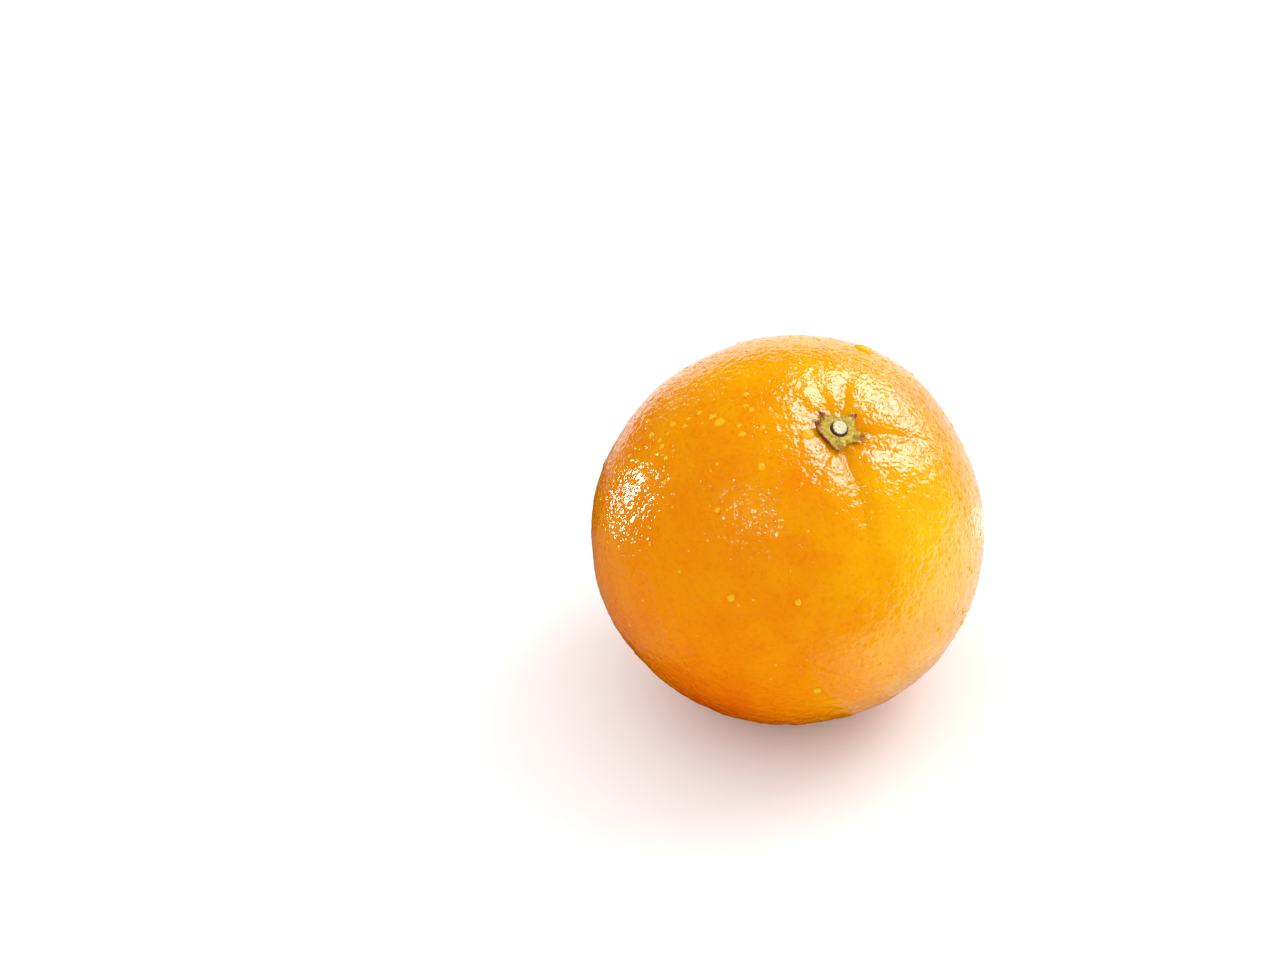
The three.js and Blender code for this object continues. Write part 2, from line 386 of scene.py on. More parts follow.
def makeGrainGroup():
    tree, given, result, _ = newTree("plantGrain", "ShaderNodeTree", [
        ("Place", "Vector"), ("Patch Size", "Float"), ("Grain Size", "Float"),
    ], [("Patches", "Float"), ("Grain", "Float")])
    for label, size, detail in (("Patches", "Patch Size", 3.0), ("Grain", "Grain Size", 2.0)):
        made = addNode(tree, "ShaderNodeTexNoise", {
            "Vector": given["Place"], "Scale": calc(tree, "DIVIDE", 1.0, given[size]), "Detail": detail})
        tree.links.new(mapRange(tree, made.outputs["Fac"], 0.3, 0.7), result.inputs[label])
    return tree


def makePoreGroup():
    tree, given, result, _ = newTree("peelPores", "ShaderNodeTree", [
        ("Place", "Vector"), ("Spacing", "Float"), ("Inner", "Float"), ("Outer", "Float"),
    ], [("Pore", "Float"), ("Pick", "Float")])
    cells = addNode(tree, "ShaderNodeTexVoronoi", {
        "Vector": given["Place"], "Scale": calc(tree, "DIVIDE", 1.0, given["Spacing"]), "Randomness": 1.0})
    pore = mapRange(tree, cells.outputs["Distance"], given["Inner"], given["Outer"], 1.0, 0.0)
    tree.links.new(pore, result.inputs["Pore"])
    pick = addNode(tree, "ShaderNodeSeparateColor", {"Color": cells.outputs["Color"]}).outputs[0]
    tree.links.new(pick, result.inputs["Pick"])
    return tree


def newMaterial(name):
    material = bpy.data.materials.new(name)
    material.use_nodes = True
    tree = material.node_tree
    return material, tree, tree.nodes["Principled BSDF"]


def setShader(shader, values):
    for label, value in values.items():
        shader.inputs[label].default_value = value


def mixColour(tree, share, first, second, blend="MIX"):
    # a Mix node's sockets have one name for each kind of value, so the colour's go by number
    return addNode(tree, "ShaderNodeMix", {0: share, 6: first, 7: second},
                   data_type="RGBA", blend_type=blend).outputs[2]


def solid(colour):
    return (*colour, 1.0)


def colourRamp(tree, value, stops):
    made = addNode(tree, "ShaderNodeValToRGB", {"Fac": value})
    ramp = made.color_ramp
    while len(ramp.elements) < len(stops):
        ramp.elements.new(1.0)
    for element, (position, colour) in zip(ramp.elements, stops):
        element.position = position
        element.color = solid(colour)
    return made.outputs["Color"]


def bumpNormal(tree, height, distance, normal=None):
    inputs = {"Height": height, "Distance": distance * mm}
    if normal is not None:
        inputs["Normal"] = normal
    return addNode(tree, "ShaderNodeBump", inputs).outputs[0]


def shaderAttribute(tree, name, out):
    return addNode(tree, "ShaderNodeAttribute", attribute_name=name, attribute_type="GEOMETRY").outputs[out]


grainGroup = makeGrainGroup()
poreGroup = makePoreGroup()


# The peel: orange, redder or yellower by place partly as painted light and shade, with darker oil glands
# partly painted as shade in their pits, and a waxy gloss

peelLook = {
    "redOrange": (0.66, 0.11, 0.001),
    "orange": (0.74, 0.235, 0.001),
    "yellowOrange": (0.78, 0.34, 0.001),
    "yellow": (0.80, 0.48, 0.008),
    "glandAndPitShade": (0.94, 0.78, 0.6),
    "speck": (0.98, 0.66, 0.12),
    "patchSize": 9.0,
    "patchShare": 0.22,
    "grainSize": 0.9,
    "glandSpacing": 1.5,
    "glandShare": 0.4,
    "dotSpacing": 0.8,
    "dotShare": 0.35,
    "speckSpacing": 2.6,
    "speckChance": 0.12,
    "speckShare": 0.5,
    "rippleSize": 0.85,
    "rippleHeight": 0.15,
    "dotDepth": 0.05,
    "smoothest": 0.05,
    "roughest": 0.11,
    "Subsurface Weight": 0.12,
    "Subsurface Scale": 0.003,
    "Subsurface Radius": (1.0, 0.35, 0.08),
    "Specular IOR Level": 0.5,
}


def makePeel():
    material, tree, shader = newMaterial("orangePeel")
    place = shaderAttribute(tree, "peelPlace", "Vector")
    # the stored lean holds the peel's own colour together with painted light and shade
    leanAndPaintedLight = shaderAttribute(tree, "ripeness", "Fac")
    look = peelLook
    grain = placeGroup(tree, grainGroup, {
        "Place": place, "Patch Size": look["patchSize"], "Grain Size": look["grainSize"]})
    centred = calc(tree, "SUBTRACT", grain["Patches"], 0.5)
    mottled = calc(tree, "ADD", leanAndPaintedLight, calc(tree, "MULTIPLY", centred, look["patchShare"]))
    tone = mapRange(tree, mottled, -1.0, 1.0, curve="LINEAR")
    colour = colourRamp(tree, tone, [
        (0.1, look["redOrange"]), (0.5, look["orange"]), (0.7, look["yellowOrange"]), (0.95, look["yellow"])])

    # oil glands, and the finer dots between them; both darken the peel in its pits, partly the glands' own
    # deeper colour and partly painted shade in the hollows
    glands = placeGroup(tree, poreGroup, {
        "Place": place, "Spacing": look["glandSpacing"], "Inner": 0.1, "Outer": 0.45})
    dots = placeGroup(tree, poreGroup, {
        "Place": place, "Spacing": look["dotSpacing"], "Inner": 0.1, "Outer": 0.5})
    pitShadeColour = solid(look["glandAndPitShade"])
    glandAndPitShade = calc(tree, "MULTIPLY", glands["Pore"], look["glandShare"])
    colour = mixColour(tree, glandAndPitShade, colour, pitShadeColour, "MULTIPLY")
    dotPitShade = calc(tree, "MULTIPLY", dots["Pore"], look["dotShare"])
    colour = mixColour(tree, dotPitShade, colour, pitShadeColour, "MULTIPLY")

    # a pale speck here and there
    specks = placeGroup(tree, poreGroup, {
        "Place": place, "Spacing": look["speckSpacing"], "Inner": 0.06, "Outer": 0.14})
    chosen = calc(tree, "LESS_THAN", specks["Pick"], look["speckChance"])
    speck = calc(tree, "MULTIPLY", calc(tree, "MULTIPLY", specks["Pore"], chosen), look["speckShare"])
    colour = mixColour(tree, speck, colour, solid(look["speck"]))
    tree.links.new(colour, shader.inputs["Base Color"])

    rough = mapRange(tree, grain["Grain"], 0.0, 1.0, look["smoothest"], look["roughest"])
    tree.links.new(rough, shader.inputs["Roughness"])

    ripple = addNode(tree, "ShaderNodeTexNoise", {
        "Vector": place, "Scale": 1.0 / look["rippleSize"], "Detail": 0.0}).outputs["Fac"]
    normal = bumpNormal(tree, ripple, look["rippleHeight"])
    normal = bumpNormal(tree, calc(tree, "SUBTRACT", 1.0, dots["Pore"]), look["dotDepth"], normal)
    tree.links.new(normal, shader.inputs["Normal"])
    setShader(shader, {label: look[label] for label in (
        "Subsurface Weight", "Subsurface Scale", "Subsurface Radius", "Specular IOR Level")})
    return material


def finishPiece(name, mesh, node):
    piece = bpy.data.objects.new(name, mesh)
    bpy.context.scene.collection.objects.link(piece)
    if node:
        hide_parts(node)
    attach(piece, "root")
    return piece


def boxOf(points):
    low = Vector([min(point[axis] for point in points) for axis in range(3)])
    high = Vector([max(point[axis] for point in points) for axis in range(3)])
    return low, high


fruitTree, fruitSockets = makeFruitTree()
upInFruit = leanTurn.transposed().to_3x3() @ Vector((0.0, 0.0, 1.0))
fruitInputs = {**fruitShape, "Up": upInFruit, "Peel": makePeel()}
fruitMesh = runTree("orangeFruit", fruitTree, fruitSockets, fruitInputs)
peelSurface = BVHTree.FromPolygons(
    [corner.co for corner in fruitMesh.vertices], [face.vertices for face in fruitMesh.polygons])

# leaned, and laid where the CAD fruit lies
nodeLow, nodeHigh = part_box("fruit")
toMetres = Matrix.Scale(mm, 4)
leanedLow, leanedHigh = boxOf([toMetres @ leanTurn @ corner.co for corner in fruitMesh.vertices])
fruitMiddle = (Vector(nodeLow) + Vector(nodeHigh) - leanedLow - leanedHigh) / 2
fruitMiddle.z = nodeLow[2] - leanedLow.z
inPlace = Matrix.Translation(fruitMiddle) @ leanTurn @ toMetres
fruitMesh.transform(inPlace)
fruitPiece = finishPiece("fruit_peel", fruitMesh, "fruit")
print("fruit grown:", len(fruitMesh.polygons), "faces")


# The calyx: a woody star of five sepals, with a socket for the stem in its middle

calyxShape = {
    # azimuth, reach, curl and how dry the tip is
    "sepals": [
        (49, 5.6, 0.5, 1.0),
        (145, 5.3, 1.1, 1.0),
        (177, 5.3, 1.4, 1.0),
        (274, 5.1, 0.1, 0.45),
        (352, 5.8, 0.1, 0.5),
    ],
    # azimuth and reach
    "notches": [(17, 3.5), (97, 3.4), (159, 3.6), (228, 3.8), (309, 3.3)],
    "sepalPoint": 2.1,
    "socketRadius": 1.75,
    "socketFloor": 0.8,
    "collarReach": 2.6,
    "collarThickness": 1.2,
    "bladeThickness": 0.75,
    "edgeThickness": 0.35,
    "lift": 0.05,
    "sunk": 0.25,
    "wallAzimuth": 222,  # the side where the rim is thickest, and painted darkest as shade
    "wallSpread": 34,
    "wallThickness": 0.45,
    "ribHeight": 0.5,
    "ribWidth": 0.4,
    "knobHeight": 0.5,
    "knobSize": 0.75,
    "raggedness": 0.16,
    "pressed": 0.08,  # how far the underside presses into the creased peel
    "shadeInside": 1.3,
    "shadeUnder": 1.1,
    "sides": 300,
    "topRings": 34,
    "underRings": 8,
}


def smoothStep(value, low, high):
    share = min(1.0, max(0.0, (value - low) / (high - low)))
    return share * share * (3.0 - 2.0 * share)


def blendBetween(first, second, share):
    return first + (second - first) * share


def turnBetween(first, second):
    return (first - second + 180.0) % 360.0 - 180.0


# the height of the plain peel, which the creases and lumps dip below
def peelHeight(x, y):
    shape = fruitShape
    across = math.hypot(x, y)
    azimuth = math.degrees(math.atan2(y, x))
    radius = shape["Stem Height"]
    for _ in range(3):
        polar = math.degrees(math.asin(across / radius))
        facing = toward(polar, azimuth)
        radius = 1.0 / math.hypot(facing.z / shape["Stem Height"], across / radius / shape["Equator Radius"])
        radius -= shape["Hollow Depth"] * math.exp(-(polar / shape["Hollow Spread"]) ** 2)
        radius -= shape["Well Depth"] * math.exp(-(polar / shape["Well Spread"]) ** 2)
        for swellPolar, swellAzimuth, rise, spread in fruitSwells:
            away = math.degrees(facing.angle(toward(swellPolar, swellAzimuth)))
            radius += rise * math.exp(-(away / spread) ** 2)
    return math.sqrt(radius ** 2 - across ** 2)


# the height of the peel itself, creases and all
def creasedHeight(x, y):
    return peelSurface.ray_cast(Vector((x, y, 80.0)), Vector((0.0, 0.0, -1.0)))[0].z


# how far the calyx reaches this way, how much it curls and dries, and how near the middle of a sepal this is
def calyxOutline(azimuth):
    shape = calyxShape
    tips = [(*facts, True) for facts in shape["sepals"]]
    marks = sorted(tips + [(turn, reach, 0.0, 0.0, False) for turn, reach in shape["notches"]])
    marks.append((marks[0][0] + 360, *marks[0][1:]))
    if azimuth < marks[0][0]:
        azimuth += 360.0
    for first, second in zip(marks, marks[1:]):
        if first[0] <= azimuth <= second[0]:
            break
    sepal, notch = (first, second) if first[4] else (second, first)
    away = (azimuth - sepal[0]) / (notch[0] - sepal[0])
    towardTip = (1.0 - away) ** shape["sepalPoint"]
    reach = blendBetween(notch[1], sepal[1], towardTip)
    around = Vector((math.cos(math.radians(azimuth)), math.sin(math.radians(azimuth)), 0.0))
    reach += shape["raggedness"] * noise.fractal(around * 9.0, 0.7, 2.0, 3)
    return reach, sepal[2] * towardTip, sepal[3] * towardTip, abs(azimuth - sepal[0])


def pushAttribute(mesh, name, values):
    mesh.attributes.new(name, "FLOAT", "POINT").data.foreach_set("value", values)


# rings of points joined into a closed skin, the first and last ring each drawn to a point
def skinOfRings(rings, sides):
    faces = []
    last = len(rings) - 1
    for ring in range(last):
        for side in range(sides):
            ahead = (side + 1) % sides
            faces.append((ring * sides + side, ring * sides + ahead,
                          (ring + 1) * sides + ahead, (ring + 1) * sides + side))
    points = [point for ring in rings for point in ring]
    for ring, turned in ((0, True), (last, False)):
        middle = sum((Vector(point) for point in rings[ring]), Vector()) / sides
        points.append(middle)
        for side in range(sides):
            ahead = (side + 1) % sides
            first, second = (ahead, side) if turned else (side, ahead)
            faces.append((ring * sides + first, ring * sides + second, len(points) - 1))
    return points, faces


def skinMesh(name, rings, sides, material):
    points, faces = skinOfRings(rings, sides)
    mesh = bpy.data.meshes.new(name)
    mesh.from_pydata(points, [], faces)
    work = bmesh.new()
    work.from_mesh(mesh)
    bmesh.ops.recalc_face_normals(work, faces=work.faces)
    work.to_mesh(mesh)
    work.free()
    mesh.shade_smooth()
    mesh.materials.append(material)
    return mesh


def makeCalyxMesh(material):
    shape = calyxShape
    sides, tops, unders = shape["sides"], shape["topRings"], shape["underRings"]
    floorHeight = peelHeight(0.0, 0.0) + shape["socketFloor"]
    rings = [[] for _ in range(tops + unders + 3)]
    dryAndShaded = [[] for _ in rings]
    for side in range(sides):
        azimuth = 360.0 * side / sides
        turn = math.radians(azimuth)
        reach, curl, dryTip, fromSepal = calyxOutline(azimuth)
        wall = math.exp(-(turnBetween(azimuth, shape["wallAzimuth"]) / shape["wallSpread"]) ** 2)
        edge = shape["edgeThickness"] + shape["wallThickness"] * wall

        def surface(radius, share):
            x, y = radius * math.cos(turn), radius * math.sin(turn)
            bed = peelHeight(x, y) - shape["sunk"]
            blade = blendBetween(shape["collarThickness"], shape["bladeThickness"], smoothStep(
                radius, 0.8 * shape["collarReach"], 1.45 * shape["collarReach"]))
            thickness = blendBetween(blade, edge, smoothStep(share, 0.5, 1.0))
            lifted = shape["lift"] + curl * share ** 3
            # a rib along each sepal, and knobs all over
            across = radius * math.sin(math.radians(min(90.0, fromSepal)))
            relief = shape["ribHeight"] * math.exp(-(across / shape["ribWidth"]) ** 2) * smoothStep(
                radius, 2.2, 3.2) * (1.0 - share ** 4)
            knob = noise.fractal(Vector((x, y, 2.0)) / shape["knobSize"], 0.9, 2.1, 3)
            relief += shape["knobHeight"] * knob * smoothStep(radius, 1.9, 2.5) * (1.0 - share ** 6)
            return x, y, bed, lifted, thickness + relief

        # down the socket's wall, then up over the top and back underneath
        socket = shape["socketRadius"]
        x, y, bed, lifted, thick = surface(socket, 0.0)
        brim = bed + lifted + thick
        # the socket's wall is painted dark brown: painted shade down in the hole
        rings[0].append((x * 0.97, y * 0.97, floorHeight))
        dryAndShaded[0].append(shape["shadeInside"])
        rings[1].append((x * 0.98, y * 0.98, blendBetween(floorHeight, brim, 0.55)))
        dryAndShaded[1].append(shape["shadeInside"])
        for ring in range(tops):
            share = ring / (tops - 1)
            share = math.sin(share * math.pi / 2) ** 0.9
            radius = socket + (reach - socket) * share
            x, y, bed, lifted, thick = surface(radius, share)
            rounding = math.sqrt(max(0.0, 1.0 - smoothStep(share, 0.9, 1.0) ** 2 * 0.93))
            rounding *= 1.0 - 0.2 * math.exp(-((radius - socket) / 0.12) ** 2)
            rings[ring + 2].append((x, y, bed + lifted + thick * rounding))
            # dry at the tips and along the rim; painted shade darkens the rim more on the wall side and round
            # the socket's lip
            grain = noise.noise(Vector((x, y, 5.0)) * 1.9) * 0.35
            tipDryness = dryTip * smoothStep(share, 0.45, 0.85)
            edgeDryAndShade = smoothStep(share, 0.9, 1.0) * (0.25 + 0.95 * wall)
            lipShade = math.exp(-((radius - socket) / 0.15) ** 2) * 0.8
            dryAndShaded[ring + 2].append(max(tipDryness, edgeDryAndShade, lipShade) + grain)
        # the underside is painted dark brown: painted shade under the calyx
        for ring in range(unders + 1):
            share = 1.0 - ring / unders
            radius = socket * 0.6 + (reach - socket * 0.6) * share
            x, y, bed, lifted, _ = surface(radius, share)
            under = bed + lifted - shape["lift"]
            if ring:
                touching = creasedHeight(x, y) - shape["pressed"]
                under = min(under - shape["pressed"], blendBetween(touching, under, share ** 2))
            rings[tops + 2 + ring].append((x, y, under))
            dryAndShaded[tops + 2 + ring].append(shape["shadeUnder"])
    mesh = skinMesh("calyxStar", rings, sides, material)
    ends = [shape["shadeInside"], shape["shadeUnder"]]
    pushAttribute(mesh, "drynessAndShade", [value for ring in dryAndShaded for value in ring] + ends)
    return mesh


calyxLook = {
    "green": (0.42, 0.28, 0.016),
    "paleGreenAndSheen": (0.72, 0.57, 0.085),
    "strawAndPeelGlow": (0.48, 0.21, 0.025),
    "purpleBrown": (0.26, 0.07, 0.04),
    "darkBrownAndShade": (0.075, 0.022, 0.012),
    "patchSize": 1.1,
    "grainSize": 0.35,
    "grainShare": 0.4,
    "grainHeight": 0.08,
    "smoothest": 0.42,
    "roughest": 0.7,
    "Specular IOR Level": 0.3,
}


def makeCalyxMaterial():
    material, tree, shader = newMaterial("calyxWood")
    drynessAndShade = shaderAttribute(tree, "drynessAndShade", "Fac")
    place = tree.nodes.new("ShaderNodeTexCoord").outputs["Object"]
    look = calyxLook
    grain = placeGroup(tree, grainGroup, {
        "Place": place, "Patch Size": look["patchSize"] * mm, "Grain Size": look["grainSize"] * mm})
    # the pale green patches stand partly for painted highlights on the knobs
    colour = mixColour(tree, grain["Patches"], solid(look["green"]), solid(look["paleGreenAndSheen"]))
    centred = calc(tree, "SUBTRACT", grain["Grain"], 0.5)
    mixed = calc(tree, "ADD", drynessAndShade, calc(tree, "MULTIPLY", centred, look["grainShare"]))
    # straw tints the rim partly with the peel's orange light thrown on it; dark brown paints the shade in the
    # socket, underneath and along the rim's wall side, and the driest tips
    for driedAndShaded, starts, ends in (("strawAndPeelGlow", 0.08, 0.45), ("purpleBrown", 0.4, 0.8), ("darkBrownAndShade", 0.85, 1.25)):
        colour = mixColour(tree, mapRange(tree, mixed, starts, ends), colour, solid(look[driedAndShaded]))
    tree.links.new(colour, shader.inputs["Base Color"])
    rough = mapRange(tree, grain["Grain"], 0.0, 1.0, look["smoothest"], look["roughest"])
    tree.links.new(rough, shader.inputs["Roughness"])
    tree.links.new(bumpNormal(tree, grain["Grain"], look["grainHeight"]), shader.inputs["Normal"])
    setShader(shader, {"Specular IOR Level": look["Specular IOR Level"]})
    return material


calyxMesh = makeCalyxMesh(makeCalyxMaterial())
calyxMesh.transform(inPlace)
finishPiece("calyx_star", calyxMesh, "calyx")
print("calyx made:", len(calyxMesh.polygons), "faces")


# The stub of the stem: a round peg with a bark side and a pale cut end

stubShape = {
    "footRadius": 1.58,
    "waistRadius": 1.46,
    "headRadius": 1.48,
    "bevel": 0.16,
    "foot": 0.9,
    "head": 1.75,
    "tiltAzimuth": 100,
    "tiltRise": 0.17,
    "outOfRound": 0.05,
    "barkHeight": 0.05,
    "grainHeight": 0.09,
    "grainSize": 0.42,
    "bevelShare": 0.12,  # of the way in from the side
    "pithDip": 0.06,
    "pithRadius": 0.45,
    "sides": 96,
    "sideRings": 14,
    "endRings": 16,
}


def makeStubMesh(material):
    shape = stubShape
    bed = peelHeight(0.0, 0.0)
    sides = shape["sides"]
    rings = []
    cut = []
    for ring in range(shape["sideRings"] + shape["endRings"]):
        points = []
        onSide = ring < shape["sideRings"]
        share = ring / (shape["sideRings"] - 1) if onSide else 1.0
        inward = 0.0 if onSide else (ring - shape["sideRings"] + 1) / shape["endRings"]
        for side in range(sides):
            turn = 2 * math.pi * side / sides
            around = Vector((math.cos(turn), math.sin(turn), 0.0))
            waist = math.sin(share * math.pi)
            radius = blendBetween(shape["footRadius"], shape["headRadius"], share)
            radius -= (shape["footRadius"] - shape["waistRadius"]) * waist
            radius += shape["outOfRound"] * noise.noise(around * 1.4 + Vector((0.0, 0.0, 7.0)))
            bark = noise.fractal(around * 5.0 + Vector((0.0, 0.0, share * 1.5)), 0.8, 2.0, 3)
            radius += shape["barkHeight"] * bark * (1.0 - inward)
            height = blendBetween(shape["foot"], shape["head"] - shape["bevel"], share)
            if not onSide:
                bevelEnd = shape["bevelShare"]
                bevelTurn = min(1.0, inward / bevelEnd) * math.pi / 2
                height += shape["bevel"] * math.sin(bevelTurn)
                radius -= shape["bevel"] * (1.0 - math.cos(bevelTurn))
                radius *= 1.0 - max(0.0, inward - bevelEnd) / (1.0 - bevelEnd) * 0.97
                flat = around * radius
                grain = noise.fractal(flat / shape["grainSize"], 0.8, 2.0, 3)
                height += shape["grainHeight"] * grain * smoothStep(inward, 0.08, 0.25)
                height -= shape["pithDip"] * math.exp(-(radius / shape["pithRadius"]) ** 2)
            tilt = around.dot(toward(90.0, shape["tiltAzimuth"])) * radius * shape["tiltRise"] * share
            points.append((around.x * radius, around.y * radius, bed + height + tilt))
            cut.append(0.0 if onSide else smoothStep(inward + 0.05 * bark, 0.02, 0.14))
        rings.append(points)
    mesh = skinMesh("stemStub", rings, sides, material)
    pushAttribute(mesh, "cut", cut + [0.0, 1.0])
    return mesh


stubLook = {
    "cutCream": (0.62, 0.57, 0.28),
    "cutPaleAndSheen": (0.86, 0.83, 0.58),
    "cutHollowShade": (0.38, 0.34, 0.12),
    "bark": (0.085, 0.03, 0.015),
    "barkLight": (0.20, 0.10, 0.045),
    "patchSize": 0.55,
    "grainSize": 0.2,
    "hollowShadeShare": 0.6,
    "grainHeight": 0.05,
    "smoothest": 0.45,
    "roughest": 0.75,
    "Specular IOR Level": 0.3,
}


def makeStubMaterial():
    material, tree, shader = newMaterial("stemWood")
    cut = shaderAttribute(tree, "cut", "Fac")
    place = tree.nodes.new("ShaderNodeTexCoord").outputs["Object"]
    look = stubLook
    grain = placeGroup(tree, grainGroup, {
        "Place": place, "Patch Size": look["patchSize"] * mm, "Grain Size": look["grainSize"] * mm})
    bark = mixColour(tree, grain["Grain"], solid(look["bark"]), solid(look["barkLight"]))
    # the pale patches of the cut end stand partly for a painted highlight
    pith = mixColour(tree, grain["Patches"], solid(look["cutCream"]), solid(look["cutPaleAndSheen"]))
    # the olive in the grain's hollows is painted shade
    hollowShade = mapRange(tree, grain["Grain"], 0.0, 0.45, 1.0, 0.0)
    pith = mixColour(tree, calc(tree, "MULTIPLY", hollowShade, look["hollowShadeShare"]), pith, solid(look["cutHollowShade"]))
    tree.links.new(mixColour(tree, cut, bark, pith), shader.inputs["Base Color"])
    rough = mapRange(tree, grain["Grain"], 0.0, 1.0, look["smoothest"], look["roughest"])
    tree.links.new(rough, shader.inputs["Roughness"])
    tree.links.new(bumpNormal(tree, grain["Grain"], look["grainHeight"]), shader.inputs["Normal"])
    setShader(shader, {"Specular IOR Level": look["Specular IOR Level"]})
    return material


stubMesh = makeStubMesh(makeStubMaterial())
stubMesh.transform(inPlace)
finishPiece("stem_end", stubMesh, "stem_stub")
print("stem stub made:", len(stubMesh.polygons), "faces")


# Water on the peel: larger drops set one by one, and a scatter of small ones

# polar angle, azimuth, width round the fruit, length up and down it, height
largeDrops = [
    (10.4, 199.5, 2.3, 2.8, 0.75),
    (36.0, 178.6, 1.9, 2.4, 0.6),
    (38.5, 174.5, 1.3, 1.2, 0.45),
    (62.3, 241.6, 1.5, 1.7, 0.5),
    (55.4, 262.2, 1.3, 1.5, 0.45),
    (84.8, 276.8, 1.6, 1.8, 0.5),
    (44.0, 74.0, 3.8, 2.6, 0.85),
    (51.0, 174.0, 1.1, 1.2, 0.4),
    (47.0, 176.5, 1.0, 1.3, 0.4),
    (59.0, 175.0, 1.4, 1.5, 0.45),
    (55.5, 179.0, 0.9, 1.1, 0.35),
    (53.5, 187.5, 1.1, 1.0, 0.4),
    (29.5, 188.5, 1.2, 1.6, 0.4),
    (28.0, 214.0, 1.7, 1.4, 0.45),
]
dropShape = {"sides": 28, "rings": 9, "unevenness": 0.16, "sunk": 0.06}

scatterDrops = {
    "Spacing": 1.5,
    "Density": 100000.0,
    "Smallest": 0.3,
    "Largest": 0.6,
    "Rarity Of Large": 2.2,
    "Length": 1.15,
    "Flatness": 0.5,
    "Seed": 11,
}

# polar angle, azimuth, how wet, spread
wetPlaces = [
    (50, 175, 0.9, 26),
    (45, 60, 0.8, 26),
    (66, 330, 0.35, 20),
]


def onPeel(direction):
    place, normal, _, _ = peelSurface.ray_cast(direction * 80.0, -direction)
    return place, normal


def addDrop(points, faces, polar, azimuth, width, length, height):
    shape = dropShape
    sides, rings = shape["sides"], shape["rings"]
    middle, _ = onPeel(toward(polar, azimuth))
    down = (toward(polar + 1.0, azimuth) - toward(polar - 1.0, azimuth)).normalized()
    across = middle.normalized().cross(down).normalized()
    start = len(points)
    for ring in range(rings):
        share = math.sin((ring + 1) / rings * math.pi / 2)
        rise = height * (1.0 - share ** 2.4) ** 0.6
        for side in range(sides):
            turn = 2 * math.pi * side / sides
            around = Vector((math.cos(turn), math.sin(turn), polar))
            reach = 1.0 + shape["unevenness"] * noise.noise(around * 1.3) * share
            aside = across * (math.cos(turn) * width / 2) + down * (math.sin(turn) * length / 2)
            place, normal = onPeel((middle + aside * (share * reach)).normalized())
            points.append(place + normal * (rise if ring < rings - 1 else -shape["sunk"]))
    for ring in range(rings - 1):
        for side in range(sides):
            ahead = (side + 1) % sides
            inner, outer = start + ring * sides, start + (ring + 1) * sides
            faces.append((inner + side, outer + side, outer + ahead, inner + ahead))
    top, bottom = len(points), len(points) + 1
    points.append(middle + middle.normalized() * height)
    points.append(middle - middle.normalized() * shape["sunk"] * 2)
    rim = start + (rings - 1) * sides
    for side in range(sides):
        ahead = (side + 1) % sides
        faces.append((start + side, start + ahead, top))
        faces.append((rim + ahead, rim + side, bottom))


def makeScatterTree():
    tree, given, result, sockets = newTree("scatterWater", "GeometryNodeTree", [
        ("Fruit", "Object"), ("Spacing", "Float"), ("Density", "Float"), ("Smallest", "Float"),
        ("Largest", "Float"), ("Rarity Of Large", "Float"), ("Length", "Float"), ("Flatness", "Float"),
        ("Seed", "Int"), ("Water", "Material"),
    ], [("Drops", "Geometry")])
    fruit = addNode(tree, "GeometryNodeObjectInfo", {"Object": given["Fruit"]}).outputs["Geometry"]
    spread = addNode(tree, "GeometryNodeDistributePointsOnFaces", {
        "Mesh": fruit, "Distance Min": calc(tree, "MULTIPLY", given["Spacing"], mm),
        "Density Max": given["Density"], "Density Factor": readAttribute(tree, "wetness"),
        "Seed": given["Seed"],
    }, distribute_method="POISSON")
    drop = addNode(tree, "GeometryNodeMeshIcoSphere", {"Radius": mm, "Subdivisions": 2}).outputs["Mesh"]
    drop = addNode(tree, "GeometryNodeSetShadeSmooth", {"Geometry": drop}).outputs[0]
    sizes = addNode(tree, "FunctionNodeRandomValue", {"Seed": given["Seed"]}, data_type="FLOAT").outputs[1]
    share = calc(tree, "POWER", sizes, given["Rarity Of Large"])
    larger = calc(tree, "SUBTRACT", given["Largest"], given["Smallest"])
    radius = calc(tree, "ADD", given["Smallest"], calc(tree, "MULTIPLY", larger, share))
    scale = addNode(tree, "ShaderNodeCombineXYZ", {
        "X": radius, "Y": calc(tree, "MULTIPLY", radius, given["Length"]),
        "Z": calc(tree, "MULTIPLY", radius, given["Flatness"])}).outputs[0]
    placed = addNode(tree, "GeometryNodeInstanceOnPoints", {
        "Points": spread.outputs["Points"], "Instance": drop, "Rotation": spread.outputs["Rotation"],
        "Scale": scale}).outputs[0]
    finishTree(tree, placed, given["Water"], result.inputs["Drops"])
    return tree, sockets


# the water's colour is painted yellow-orange: painted light, standing for the lit peel seen through each drop
# and the light the drop gathers on it
waterLookWithPaintedGlow = {
    "Base Color": (1.0, 0.58, 0.02, 1.0),
    "Roughness": 0.02,
    "Transmission Weight": 0.35,
    "IOR": 1.333,
}
waterWaver = {"perMetre": 900.0, "height": 0.02}


def makeWater():
    material, tree, shader = newMaterial("clearWater")
    place = tree.nodes.new("ShaderNodeTexCoord").outputs["Object"]
    waver = addNode(tree, "ShaderNodeTexNoise", {
        "Vector": place, "Scale": waterWaver["perMetre"]}).outputs["Fac"]
    tree.links.new(bumpNormal(tree, waver, waterWaver["height"]), shader.inputs["Normal"])
    setShader(shader, waterLookWithPaintedGlow)

    # lamps shine through a drop on to the peel under it
    clear = tree.nodes.new("ShaderNodeBsdfTransparent")
    lampRay = tree.nodes.new("ShaderNodeLightPath").outputs["Is Shadow Ray"]
    mixed = addNode(tree, "ShaderNodeMixShader", {0: lampRay, 1: shader.outputs[0], 2: clear.outputs[0]})
    tree.links.new(mixed.outputs[0], tree.nodes["Material Output"].inputs["Surface"])
    return material


